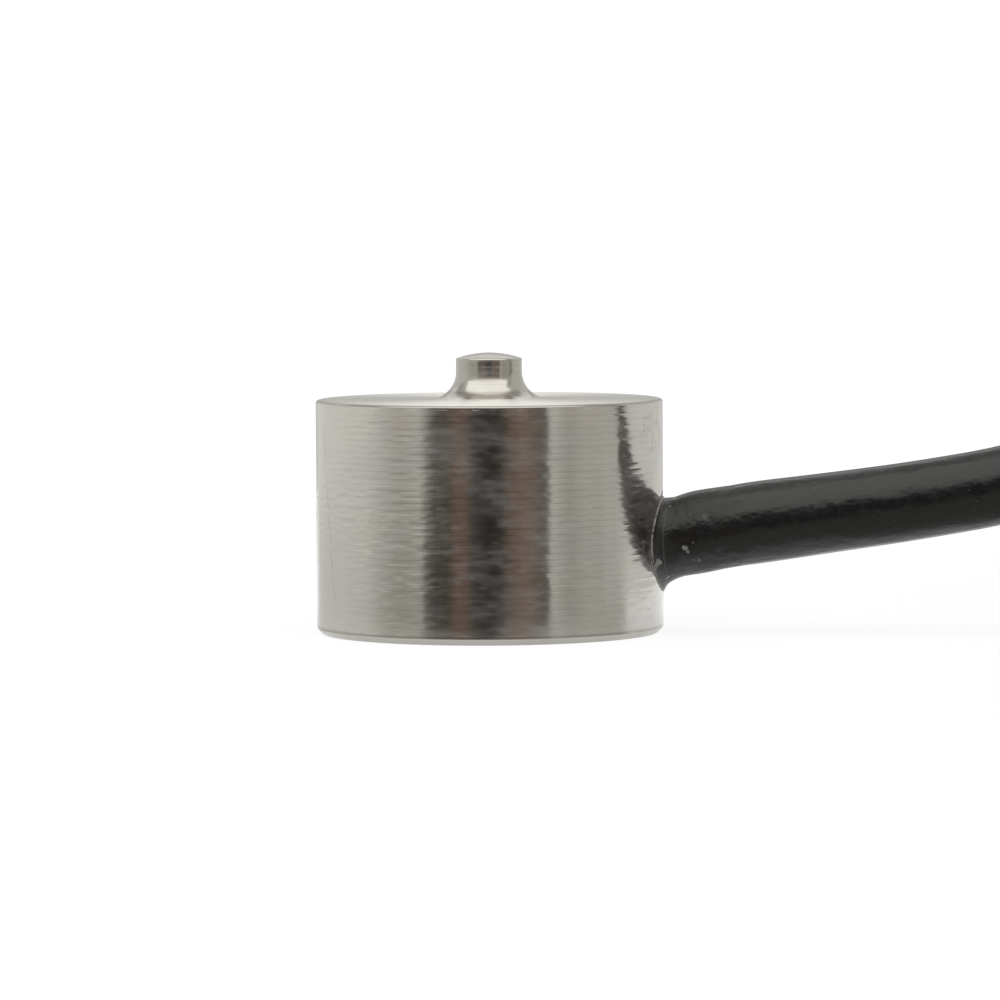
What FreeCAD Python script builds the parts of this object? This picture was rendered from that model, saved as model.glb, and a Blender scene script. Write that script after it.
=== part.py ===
import FreeCAD, Part
import math
import os

# Miniature compression load cell: a turned steel body with a domed load button,
# a foil gauge bridge under its diaphragm, and a shielded four-core cable.
# Millimetres. Origin at the centre of the base, +Z up the load axis, +X along the cable exit.

Vector = FreeCAD.Vector
X_AXIS = Vector(1, 0, 0)
Z_AXIS = Vector(0, 0, 1)
MITRED = 1

# Body, turned in one piece with its load button
BODY_R = 6.0
BODY_H = 8.1
TOP_EDGE_R = 0.24
TOP_EDGE_FLATS = 3
FOOT_CHAMFER = 0.2
BUTTON_R = 1.14
BUTTON_TOP_Z = 9.69
DOME_RISE = 0.2
BUTTON_FILLET_R = 0.93

# Cavity under the diaphragm
COVER_SEAT_R = 5.2
COVER_SEAT_Z = 0.6
BORE_R = 4.7
BOARD_SEAT_Z = 5.35
GAUGE_BORE_R = 4.3
DIAPHRAGM_Z = 6.7
BOSS_R = 1.5
BOSS_Z = 5.7
ROOT_CHAMFER = 0.15

# Cover, recessed so that the cell stands on the rim of the body
COVER_T = 0.5
COVER_BEVEL = 0.08

# Foil gauges: a backing with an etched grid, its long side along a radius
GAUGE_ANGLES = (45, 135, 225, 315)
GAUGE_INNER_R = 1.8
GAUGE_LENGTH = 2.2
GAUGE_WIDTH = 1.6
BACKING_T = 0.05
FOIL_T = 0.02
STRANDS = 7
STRAND_W = 0.07
STRAND_PITCH = 0.15
GRID_INNER_R = 2.5
GRID_LENGTH = 1.3
LOOP_W = 0.1
TAB_SIZE = 0.45
TAB_OFFSET = 0.42
TAB_R = GAUGE_INNER_R + LOOP_W + TAB_SIZE / 2
FOIL_Z = DIAPHRAGM_Z - BACKING_T - FOIL_T

# Terminal board, with its trimming resistors underneath
BOARD_R = 4.65
BOARD_HOLE_R = 2.5
BOARD_T = 0.5
BOARD_UNDER_Z = BOARD_SEAT_Z - BOARD_T
RESISTOR_SIZE = Vector(1.0, 0.5, 0.32)
RESISTOR_CAP = 0.22
RESISTOR_CAP_T = 0.03
RESISTOR_ORBIT = 3.6
RESISTOR_ANGLES = {"zero_resistor": 165, "span_resistor": 195}

# Fine wires from the gauges, through the board's hole, to pads under the board
JUMPER_R = 0.075
JUMPER_SIDES = 6
JUMPER_PAD_R = 3.0
JUMPER_DROP = 0.2
JUMPER_BEND = 0.3
GAUGE_DOT_R = 0.2
JUMPER_DOT_R = 0.3
LEAD_DOT_R = 0.42
DOT_SIDES = 6
DOT_HEIGHT = 0.9
DOT_TAPER = 0.55

# Cable: round jacket, four cores and a twisted shield
CABLE_R = 1.34
CORE_R = 0.325
CORE_SIDES = 12
CORE_OFFSET = 0.42
CORE_BEND = 0.5
CORE_LEAD_IN = 0.45
CORE_SOLDER_GAP = 0.08
HOLE_R = 1.5
HOLE_Z = 3.4
JACKET_START = 4.5
CORE_PADS = {
    "red": (3.1, 1.15, 1, 1),
    "white": (3.1, -1.15, -1, 1),
    "black": (3.2, 2.45, 1, -1),
    "green": (3.2, -2.45, -1, -1),
}

# Sealant bead: round sections, as distance out, height of the centre and radius
SEAL_SECTIONS = (
    (5.1, 2.92, 1.92),
    (6.04, 2.96, 1.83),
    (6.2, 3.15, 1.62),
    (6.45, 3.3, 1.5),
    (6.9, 3.42, 1.46),
    (8.2, 3.62, 1.43),
)

# Coil of the spare cable: its turns lie in lanes, side by side and on each other
LANE = 2.75
LANES_WIDE = 4
LANES_HIGH = 4
LANE_ROOM = 0.15
COIL_R = 13.5
COIL_W = LANES_WIDE * LANE
COIL_H = LANES_HIGH * LANE
OUTER_LANE_R = COIL_R + (COIL_W - LANE) / 2
TOP_LANE_Z = COIL_H - LANE / 2
FLOOR_LANE_Z = LANE / 2
ENTRY_Y = -1.8
COIL_CENTRE = Vector(39.3, ENTRY_Y + OUTER_LANE_R, 0)
NOTCH_LENGTH = 18.0

# End of the cable past the coil
TAIL_ANGLE = -90
TAIL_RUN = 3.0
TAIL_HEADINGS = (0, -4, -1)

# Band that ties the coil
TIE_ANGLE = 0
TIE_WIDTH = 2.6
TIE_T = 0.6
TIE_PROUD = 0.15
TIE_HEAD = Vector(3.6, 4.0, 2.2)

# Free end of the cable
LEAD_RUN = 4.0
LEAD_SIDES = 10
TIP_R = 0.2
TIP_LENGTH = 4.0
PIGTAIL_R = 0.3
PIGTAIL_OFFSET = 1.0
LEAD_TURNS = {"red": (20, 3), "white": (-20, 2), "black": (4, -3), "green": (-4, 3)}
PIGTAIL_TURNS = (34, 8)

# Route of the cable from the wall to the coil
LAST_RUN = 6.2
ROUTE = [
    Vector(JACKET_START, 0, HOLE_Z),
    Vector(6.8, 0, HOLE_Z),
    Vector(11.3, 0, 4.07),
    Vector(18.8, 0, 5.3),
    Vector(23.8, -0.7, 7.15),
    Vector(28.6, -1.75, 9.3),
    Vector(COIL_CENTRE.x - LAST_RUN, ENTRY_Y, TOP_LANE_Z),
    Vector(COIL_CENTRE.x, ENTRY_Y, TOP_LANE_Z),
]


def save(name, shape):
    """Write one node and say what it is."""
    print(f"{name}: {len(shape.Solids)} solid, {shape.Volume:.4f} mm3, valid {shape.isValid()}")
    shape.exportStep(f"parts/{name}.step")


def heading(degrees):
    """Unit vector on the floor, at an angle from +X."""
    turn = math.radians(degrees)
    return Vector(math.cos(turn), math.sin(turn), 0)


def on_arc(centre_r, centre_z, radius, degrees):
    """Point of a circle in the half plane of a turned profile."""
    turn = math.radians(degrees)
    return Vector(centre_r + radius * math.cos(turn), 0, centre_z + radius * math.sin(turn))


def turned(start, *steps):
    """Solid of revolution about Z. A step is a point to run to, or an arc's middle and end."""
    edges = []
    here = start
    for step in steps + (start,):
        if isinstance(step, tuple):
            middle, there = step
            edges.append(Part.Arc(here, middle, there).toShape())
        else:
            there = step
            edges.append(Part.LineSegment(here, there).toShape())
        here = there
    face = Part.Face(Part.Wire(edges))
    return face.revolve(Vector(0, 0, 0), Z_AXIS, 360)


def box(low, size):
    """Box from its lowest corner and its size."""
    return Part.makeBox(size.x, size.y, size.z, low)


def rounded_path(points):
    """Straight runs joined by tangent arcs, each as large as its two runs allow."""
    edges = []
    radii = []
    here = points[0]
    for before, corner, after in zip(points, points[1:], points[2:]):
        back = before - corner
        onward = after - corner
        half_turn = (math.pi - back.getAngle(onward)) / 2
        arc_r = 0.45 * min(back.Length, onward.Length) / math.tan(half_turn)
        reach = arc_r * math.tan(half_turn)
        arc_start = corner + back.normalize() * reach
        arc_end = corner + onward.normalize() * reach
        inward = (back + onward).normalize()
        middle = corner + inward * (arc_r / math.cos(half_turn) - arc_r)
        edges.append(Part.LineSegment(here, arc_start).toShape())
        edges.append(Part.Arc(arc_start, middle, arc_end).toShape())
        radii.append(arc_r)
        here = arc_end
    edges.append(Part.LineSegment(here, points[-1]).toShape())
    return Part.Wire(edges), radii


def cord_tube(name, points):
    """Stretch of cable that isn't coiled, with its bends and volume printed."""
    path, radii = rounded_path(points)
    section = Part.Wire(Part.makeCircle(CABLE_R, points[0], points[1] - points[0]))
    rod = path.makePipeShell([section], True, False)
    bends = ", ".join(f"{bend:.1f}" for bend in radii)
    volume_ratio = rod.Volume / (math.pi * CABLE_R ** 2 * path.Length)
    print(f"{name}: length {path.Length:.2f}, bend radii {bends}")
    print(f"{name}: volume over section times length {volume_ratio:.5f}")
    return rod


def free_rod(points, radius):
    """Core that lies free, along a rounded path."""
    path, _ = rounded_path(points)
    return path.makePipeShell([many_sided(points[0], points[1] - points[0], radius, LEAD_SIDES)], True, False)


def bent_wire(points, radius, sides):
    """Fine wire in straight runs with mitred corners."""
    section = many_sided(points[0], points[1] - points[0], radius, sides)
    return Part.makePolygon(points).makePipeShell([section], True, False, MITRED)


def many_sided(centre, normal, radius, sides):
    """Closed outline of a regular figure across a direction."""
    turn = FreeCAD.Rotation(Z_AXIS, normal)
    corners = [centre + turn.multVec(heading(360 / sides * step)) * radius for step in range(sides)]
    return Part.makePolygon(corners + corners[:1])


def turned_body():
    """Body, diaphragm, boss and button as turned, before the cable hole is drilled."""
    dome_r = (BUTTON_R ** 2 + DOME_RISE ** 2) / (2 * DOME_RISE)
    dome_half = math.degrees(math.asin(BUTTON_R / dome_r)) / 2
    button_rim_z = BUTTON_TOP_Z - DOME_RISE
    fillet_r = BUTTON_R + BUTTON_FILLET_R
    fillet_z = BODY_H + BUTTON_FILLET_R
    top_edge = []
    for flat in range(TOP_EDGE_FLATS + 1):
        turn = 90 / TOP_EDGE_FLATS * flat
        top_edge.append(on_arc(BODY_R - TOP_EDGE_R, BODY_H - TOP_EDGE_R, TOP_EDGE_R, turn))
    return turned(
        Vector(COVER_SEAT_R, 0, 0),
        Vector(BODY_R - FOOT_CHAMFER, 0, 0),
        Vector(BODY_R, 0, FOOT_CHAMFER),
        *top_edge,
        Vector(fillet_r, 0, BODY_H),
        (on_arc(fillet_r, fillet_z, BUTTON_FILLET_R, 225), Vector(BUTTON_R, 0, fillet_z)),
        Vector(BUTTON_R, 0, button_rim_z),
        (on_arc(0, BUTTON_TOP_Z - dome_r, dome_r, 90 - dome_half), Vector(0, 0, BUTTON_TOP_Z)),
        Vector(0, 0, BOSS_Z),
        Vector(BOSS_R, 0, BOSS_Z),
        Vector(BOSS_R, 0, DIAPHRAGM_Z - ROOT_CHAMFER),
        Vector(BOSS_R + ROOT_CHAMFER, 0, DIAPHRAGM_Z),
        Vector(GAUGE_BORE_R - ROOT_CHAMFER, 0, DIAPHRAGM_Z),
        Vector(GAUGE_BORE_R, 0, DIAPHRAGM_Z - ROOT_CHAMFER),
        Vector(GAUGE_BORE_R, 0, BOARD_SEAT_Z),
        Vector(BORE_R, 0, BOARD_SEAT_Z),
        Vector(BORE_R, 0, COVER_SEAT_Z),
        Vector(COVER_SEAT_R, 0, COVER_SEAT_Z),
    )


def spring_body():
    """Turned body with its cable hole."""
    hole = Part.makeCylinder(HOLE_R, BODY_R, Vector(BORE_R / 2, 0, HOLE_Z), X_AXIS)
    return turned_body().cut(hole)


def base_cover():
    """Disc with a bevelled lower edge, seated in the body's counterbore."""
    low = COVER_SEAT_Z - COVER_T
    return turned(
        Vector(0, 0, low),
        Vector(COVER_SEAT_R - COVER_BEVEL, 0, low),
        Vector(COVER_SEAT_R, 0, low + COVER_BEVEL),
        Vector(COVER_SEAT_R, 0, COVER_SEAT_Z),
        Vector(0, 0, COVER_SEAT_Z),
    )


def strain_gauge():
    """Gauge along +X under the diaphragm: backing, serpentine grid and two solder tabs."""
    backing = box(
        Vector(GAUGE_INNER_R, -GAUGE_WIDTH / 2, DIAPHRAGM_Z - BACKING_T),
        Vector(GAUGE_LENGTH, GAUGE_WIDTH, BACKING_T),
    )
    foil = []
    outermost = (STRANDS - 1) / 2 * STRAND_PITCH
    for strand in range(STRANDS):
        y = strand * STRAND_PITCH - outermost
        low = Vector(GRID_INNER_R, y - STRAND_W / 2, FOIL_Z)
        foil.append(box(low, Vector(GRID_LENGTH, STRAND_W, FOIL_T)))
        if strand < STRANDS - 1:
            loop_x = GRID_INNER_R if strand % 2 else GRID_INNER_R + GRID_LENGTH - LOOP_W
            loop_low = Vector(loop_x, y - STRAND_W / 2, FOIL_Z)
            foil.append(box(loop_low, Vector(LOOP_W, STRAND_PITCH + STRAND_W, FOIL_T)))
    for side in (-1, 1):
        tab_low = Vector(TAB_R - TAB_SIZE / 2, side * TAB_OFFSET - TAB_SIZE / 2, FOIL_Z)
        foil.append(box(tab_low, Vector(TAB_SIZE, TAB_SIZE, FOIL_T)))
        track_low = Vector(tab_low.x, side * outermost - STRAND_W / 2, FOIL_Z)
        foil.append(box(track_low, Vector(GRID_INNER_R - tab_low.x, STRAND_W, FOIL_T)))
    return backing.multiFuse(foil).removeSplitter()


def around_gauges(shape):
    """One copy of a shape at each gauge."""
    return [shape.rotated(Vector(0, 0, 0), Z_AXIS, angle) for angle in GAUGE_ANGLES]


def gauge_jumpers():
    """Fine wires, two to each gauge."""
    pad_z = BOARD_UNDER_Z - JUMPER_DROP
    wires = []
    for side in (-1, 1):
        y = side * TAB_OFFSET
        points = [
            Vector(TAB_R, y, FOIL_Z - JUMPER_R),
            Vector(TAB_R, y, pad_z + JUMPER_BEND),
            Vector(TAB_R + JUMPER_BEND, y, pad_z),
            Vector(JUMPER_PAD_R, y, pad_z),
        ]
        wires += around_gauges(bent_wire(points, JUMPER_R, JUMPER_SIDES))
    return Part.makeCompound(wires)


def solder_dot(centre, radius):
    """Drop of solder that hangs under a flat face and narrows downwards."""
    foot = many_sided(centre, Z_AXIS, radius, DOT_SIDES)
    tip = many_sided(centre - Vector(0, 0, radius * DOT_HEIGHT), Z_AXIS, radius * DOT_TAPER, DOT_SIDES)
    return Part.makeLoft([foot, tip], True, True)


def gauge_solder(jumpers):
    """Drops that hold the wires to the gauges' tabs."""
    dots = []
    for side in (-1, 1):
        dots += around_gauges(solder_dot(Vector(TAB_R, side * TAB_OFFSET, FOIL_Z), GAUGE_DOT_R))
    return Part.makeCompound([dot.cut(jumpers) for dot in dots])


def board_solder(jumpers, cores):
    """Drops under the board that hold the wires and the cable's cores."""
    dots = []
    for side in (-1, 1):
        pad = Vector(JUMPER_PAD_R, side * TAB_OFFSET, BOARD_UNDER_Z)
        dots += around_gauges(solder_dot(pad, JUMPER_DOT_R))
    for x, y, _, _ in CORE_PADS.values():
        dots.append(solder_dot(Vector(x, y, BOARD_UNDER_Z), LEAD_DOT_R))
    held = Part.makeCompound([jumpers] + list(cores.values()))
    return Part.makeCompound([dot.cut(held) for dot in dots])


def terminal_board():
    """Ring that seats on the shoulder of the bore."""
    low = Vector(0, 0, BOARD_UNDER_Z)
    return Part.makeCylinder(BOARD_R, BOARD_T, low).cut(Part.makeCylinder(BOARD_HOLE_R, BOARD_T, low))


def resistor(angle):
    """Chip resistor under the board, with an end cap at each end."""
    size = RESISTOR_SIZE
    cap_size = Vector(RESISTOR_CAP, size.y + 2 * RESISTOR_CAP_T, size.z + RESISTOR_CAP_T)
    chip = box(Vector(-size.x / 2, -size.y / 2, BOARD_UNDER_Z - size.z), size)
    caps = []
    for x in (-size.x / 2, size.x / 2 - RESISTOR_CAP):
        caps.append(box(Vector(x, -cap_size.y / 2, BOARD_UNDER_Z - cap_size.z), cap_size))
    placed = chip.multiFuse(caps).removeSplitter()
    placed.rotate(Vector(0, 0, 0), Z_AXIS, 90)
    placed.translate(Vector(RESISTOR_ORBIT, 0, 0))
    return placed.rotated(Vector(0, 0, 0), Z_AXIS, angle)


def inner_core(pad_x, pad_y, side, level):
    """Core that runs from the end of the jacket, across the cavity, and up to its pad."""
    start = Vector(JACKET_START, side * CORE_OFFSET, HOLE_Z + level * CORE_OFFSET)
    lead_in = start - X_AXIS * CORE_LEAD_IN
    corner = Vector(pad_x, pad_y, start.z)
    before_corner = corner + (lead_in - corner).normalize() * CORE_BEND
    above_corner = corner + Z_AXIS * CORE_BEND
    end = Vector(pad_x, pad_y, BOARD_UNDER_Z - CORE_SOLDER_GAP)
    return bent_wire([start, lead_in, before_corner, above_corner, end], CORE_R, CORE_SIDES)


def cable_seal(jacket):
    """Sealant that fills the hole round the jacket and flares out on the wall."""
    sections = []
    for out, height, radius in SEAL_SECTIONS:
        sections.append(Part.Wire(Part.makeCircle(radius, Vector(out, 0, height), X_AXIS)))
    bead = Part.makeLoft(sections, True, True)
    fill_start = math.sqrt(BORE_R ** 2 - HOLE_R ** 2)
    fill = Part.makeCylinder(HOLE_R, BODY_R - fill_start, Vector(fill_start, 0, HOLE_Z), X_AXIS)
    fill = fill.cut(Part.makeCylinder(BORE_R, BODY_H))
    return bead.cut(turned_body()).fuse(fill).cut(jacket).removeSplitter()


def coil_section_frame(angle):
    """Placement at an angle round the coil: X outward, Y along the turns, origin on the mean circle."""
    centre = COIL_CENTRE + heading(angle) * COIL_R
    return FreeCAD.Placement(centre, FreeCAD.Rotation(Z_AXIS, angle))


def lane_bundle(inset, length):
    """Rounded block with the section of the whole bundle of turns, a little proud of it at the sides."""
    size = Vector(COIL_W + 2 * TIE_PROUD - 2 * inset, length, COIL_H - 2 * inset)
    block = box(Vector(-size.x / 2, -length / 2, inset), size)
    long_edges = [edge for edge in block.Edges if abs(edge.tangentAt(edge.FirstParameter).y) > 0.5]
    return block.makeFillet(LANE / 2 - inset / 2, long_edges)


def coil_tie():
    """Band round the bundle with a square head on its outer side."""
    band = lane_bundle(0, TIE_WIDTH).cut(lane_bundle(TIE_T, TIE_WIDTH))
    head = box(Vector(COIL_W / 2 - TIE_T, -TIE_HEAD.y / 2, COIL_H / 2), TIE_HEAD)
    upright = [edge for edge in head.Edges if abs(edge.tangentAt(edge.FirstParameter).z) > 0.5]
    tie = band.fuse(head.makeFillet(TIE_T / 2, upright)).removeSplitter()
    tie.Placement = coil_section_frame(TIE_ANGLE)
    return tie


def tail_start():
    """Point where the last turn leaves the coil."""
    return COIL_CENTRE + heading(TAIL_ANGLE) * OUTER_LANE_R + Vector(0, 0, FLOOR_LANE_Z)


def lane_notch(start, direction, inward):
    """Room in an outer lane for cable along a tangent, the coil's centre on its left (1) or right (-1)."""
    half = LANE / 2 + LANE_ROOM
    low_y = -half if inward < 0 else -LANE
    notch = box(Vector(0, low_y, -half), Vector(NOTCH_LENGTH, half + LANE, 2 * half))
    notch.Placement = FreeCAD.Placement(start, FreeCAD.Rotation(Z_AXIS, direction))
    return notch


def cable_coil(tie):
    """Outer shape of the turns, with room for the cable where it joins and leaves them."""
    ring = Part.makeCylinder(COIL_R + COIL_W / 2, COIL_H, COIL_CENTRE)
    ring = ring.cut(Part.makeCylinder(COIL_R - COIL_W / 2, COIL_H, COIL_CENTRE))
    joins = lane_notch(ROUTE[-1], 180, -1)
    leaves = lane_notch(tail_start(), TAIL_HEADINGS[0], 1)
    return ring.cut(joins).cut(leaves).cut(tie)


def tail_points():
    """End of the cable, lying on the floor past the coil."""
    points = [tail_start()]
    for direction in TAIL_HEADINGS:
        points.append(points[-1] + heading(direction) * TAIL_RUN)
    return points


def free_lead(side, level, turns, radius):
    """Points of a core that fans out from the end of the tail and comes down to the floor."""
    direction = TAIL_HEADINGS[-1]
    across = heading(direction + 90)
    start = tail_points()[-1] + across * side + Vector(0, 0, level)
    fan, settle = turns
    away = start + heading(direction) * LEAD_RUN / 2
    down = away + heading(direction + fan) * LEAD_RUN
    down.z = radius
    end = down + heading(direction + fan + settle) * LEAD_RUN
    return [start, away, down, end]


def lead_tip(points):
    """Tinned end that goes on from a core's last run."""
    onward = (points[-1] - points[-2]).normalize()
    outline = many_sided(points[-1], onward, TIP_R, LEAD_SIDES)
    return Part.Face(outline).extrude(onward * TIP_LENGTH)


def main():
    os.makedirs("parts", exist_ok=True)
    save("spring_body", spring_body())
    save("base_cover", base_cover())
    for number, gauge in enumerate(around_gauges(strain_gauge()), start=1):
        save(f"strain_gauge_{number}", gauge)
    save("terminal_board", terminal_board())
    for name, angle in RESISTOR_ANGLES.items():
        save(name, resistor(angle))
    jumpers = gauge_jumpers()
    save("gauge_jumpers", jumpers)
    save("gauge_solder", gauge_solder(jumpers))
    cores = {colour: inner_core(*pad) for colour, pad in CORE_PADS.items()}
    for colour, core in cores.items():
        save(f"inner_lead_{colour}", core)
    save("board_solder", board_solder(jumpers, cores))

    jacket = cord_tube("cable_jacket", ROUTE)
    save("cable_jacket", jacket)
    save("cable_seal", cable_seal(jacket))
    tie = coil_tie()
    save("coil_tie", tie)
    save("cable_coil", cable_coil(tie))
    save("cable_tail", cord_tube("cable_tail", tail_points()))

    tips = []
    for colour, turns in LEAD_TURNS.items():
        _, _, side, level = CORE_PADS[colour]
        points = free_lead(side * CORE_OFFSET, level * CORE_OFFSET, turns, CORE_R)
        save(f"lead_{colour}", free_rod(points, CORE_R))
        tips.append(lead_tip(points))
    save("lead_tips", Part.makeCompound(tips))
    pigtail_points = free_lead(PIGTAIL_OFFSET, 0, PIGTAIL_TURNS, PIGTAIL_R)
    save("shield_pigtail", free_rod(pigtail_points, PIGTAIL_R))


main()
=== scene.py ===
import math
import bmesh
import bpy
from mathutils import Matrix, Vector


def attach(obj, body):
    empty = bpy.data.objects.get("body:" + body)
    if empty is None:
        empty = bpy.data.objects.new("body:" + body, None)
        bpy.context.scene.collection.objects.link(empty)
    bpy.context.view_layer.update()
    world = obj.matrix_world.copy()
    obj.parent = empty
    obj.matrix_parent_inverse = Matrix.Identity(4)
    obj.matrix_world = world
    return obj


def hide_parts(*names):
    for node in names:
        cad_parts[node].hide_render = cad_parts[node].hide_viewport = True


# Miniature compression load cell: turned steel body with a domed load button, black cable through a
# bead of sealant, and the spare cable in a tied coil. Sizes are written in millimetres and scaled by MM.

MM = 0.001

# Body, as in the part's source
BODY_R = 6.0
BODY_H = 8.1
TOP_EDGE_R = 0.24
TOP_EDGE_DROP = 0.09
FOOT_CHAMFER = 0.2
BUTTON_R = 1.14
BUTTON_TOP_Z = 9.69
DOME_RISE = 0.2
BUTTON_FILLET_R = 0.93
COVER_SEAT_R = 5.2
COVER_SEAT_Z = 0.6
BORE_R = 4.7
BOARD_SEAT_Z = 5.35
GAUGE_BORE_R = 4.3
DIAPHRAGM_Z = 6.7
BOSS_R = 1.5
BOSS_Z = 5.7
HOLE_R = 1.5
HOLE_Z = 3.4

# Small fillets and broken edges of the body
INNER_FILLET = 0.15
BOSS_EDGE = 0.02
FOOT_EDGE = 0.03
BUTTON_EDGE = 0.02

# Marks that the turning tool left, which the steel's finish draws
FEED = 0.211
ROWS_A_FEED = 8
BODY_SEGMENTS = 192

# Cable and its coil, as in the part's source
CABLE_R = 1.34
CORE_R = 0.325
CORE_OFFSET = 0.42
LANE = 2.75
LANES_WIDE = 4
LANES_HIGH = 4
COIL_R = 13.5
COIL_X = 39.3
ENTRY_Y = -1.8
OUTER_LANE_R = COIL_R + LANE * (LANES_WIDE - 1) / 2
COIL_Y = ENTRY_Y + OUTER_LANE_R
COIL_MIDDLE_Z = LANE * LANES_HIGH / 2
TOP_LANE_Z = LANE * (LANES_HIGH - 0.5)
FLOOR_LANE_Z = LANE / 2

# Winding of the coil in degrees: first change of lane, length of a change, lead of the drop to the next
# layer, start of that layer's changes, and the stretch after the last change
FIRST_MOVE = 240
MOVE_SPAN = 50
DROP_LEAD = 50
NEXT_LAYER = 260
LAST_STRETCH = 330
WINDING_STEP = 22.5
# Degrees over which the tie draws the turns together, and how much in width and in height
PINCH_SPAN = 13
PINCH_WIDTH = 0.07
PINCH_HEIGHT = 0.115

# Route of the cable from the wall to the coil: x, y, z, and share of its radius, swollen by the sealant
ROUTE = (
    (4.5, 0.0, 3.4, 0.85),
    (6.8, 0.0, 3.4, 0.93),
    (8.6, 0.0, 3.71, 1.075),
    (11.3, 0.0, 4.07, 1.035),
    (14.9, 0.0, 4.56, 1.01),
    (18.8, 0.0, 5.26, 1.0),
    (23.8, -0.7, 7.15, 1.0),
    (28.6, -1.75, 9.3, 1.0),
    (COIL_X - 6.2, ENTRY_Y, TOP_LANE_Z, 1.0),
    (COIL_X, ENTRY_Y, TOP_LANE_Z, 1.0),
)
ENTRY_ANGLE = -90
TAIL_ANGLE = -90
TAIL_RUN = 3.0
TAIL_HEADINGS = (0, -4, -1)

# Free end. For each core: its side and level in the cable, and the degrees that it fans out and then turns
LEAD_RUN = 4.0
LEAD_INSIDE = 0.6
TIP_LENGTH = 4.0
TIP_INSIDE = 0.3
PIGTAIL_R = 0.3
PIGTAIL_OFFSET = 1.0
LEADS = {
    "red": (1, 1, 20, 3),
    "white": (-1, 1, -20, 2),
    "black": (1, -1, 4, -3),
    "green": (-1, -1, -4, 3),
}
PIGTAIL_FAN = (34, 8)
# Count of strands, radius of their bundle, radius of a strand, and turns
TIP_TWIST = (7, 0.13, 0.068, 1.6)
PIGTAIL_TWIST = (9, 0.21, 0.08, 4.0)


class Term:
    """Output of a node. Arithmetic on it adds Math nodes to its tree."""

    def __init__(self, graph, socket):
        self.graph = graph
        self.socket = socket

    def math(self, operation, *others):
        return self.graph.math(operation, self, *others)

    def __add__(self, other):
        return self.math("ADD", other)

    __radd__ = __add__

    def __mul__(self, other):
        return self.math("MULTIPLY", other)

    __rmul__ = __mul__

    def __sub__(self, other):
        return self.math("SUBTRACT", other)

    def __rsub__(self, other):
        return self.graph.math("SUBTRACT", other, self)

    def __truediv__(self, other):
        return self.math("DIVIDE", other)

    def __pow__(self, other):
        return self.math("POWER", other)

    def __gt__(self, other):
        return self.math("GREATER_THAN", other)

    def __lt__(self, other):
        return self.math("LESS_THAN", other)

    def __abs__(self):
        return self.math("ABSOLUTE")


class Graph:
    """Node tree that is filled by one method."""

    def __init__(self, tree):
        self.tree = tree

    def node(self, kind, settings=None, sockets=None, output=0):
        """Add a node and return an output of it, or all where output is None. A list shares one socket."""
        made = self.tree.nodes.new(kind)
        for name, value in (settings or {}).items():
            if name == "stops":
                self.set_stops(made.color_ramp, value)
            else:
                setattr(made, name, value)
        for key, value in (sockets or {}).items():
            for part in value if isinstance(value, list) else [value]:
                if isinstance(part, Term):
                    self.tree.links.new(part.socket, made.inputs[key])
                else:
                    made.inputs[key].default_value = part
        if output is None:
            return [Term(self, socket) for socket in made.outputs]
        return Term(self, made.outputs[output])

    @staticmethod
    def set_stops(ramp, stops):
        while len(ramp.elements) < len(stops):
            ramp.elements.new(1.0)
        for element, (position, colour) in zip(ramp.elements, stops):
            element.position = position
            element.color = colour

    def math(self, operation, *values):
        return self.node("ShaderNodeMath", {"operation": operation}, dict(enumerate(values)))

    def vector(self, operation, *values):
        return self.node("ShaderNodeVectorMath", {"operation": operation}, dict(enumerate(values)))

    def scaled(self, vector, factor):
        return self.node("ShaderNodeVectorMath", {"operation": "SCALE"}, {0: vector, "Scale": factor})

    def parts(self, vector):
        return self.node("ShaderNodeSeparateXYZ", None, {0: vector}, output=None)

    def joined(self, x, y, z):
        return self.node("ShaderNodeCombineXYZ", None, {0: x, 1: y, 2: z})

    def noise(self, vector, scale=1.0, detail=2.0, roughness=0.5):
        sockets = {"Vector": vector, "Scale": scale, "Detail": detail, "Roughness": roughness}
        return self.node("ShaderNodeTexNoise", None, sockets)

    def fade(self, value, low, high):
        """0 below low, 1 above high, smooth between."""
        sockets = {0: value, 1: low, 2: high, 3: 0.0, 4: 1.0}
        return self.node("ShaderNodeMapRange", {"interpolation_type": "SMOOTHSTEP"}, sockets)

    def band(self, value, low, full, ebb, high):
        """1 from full to ebb, 0 below low and above high, smooth between."""
        return self.fade(value, low, full) * (1 - self.fade(value, ebb, high))


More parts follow.
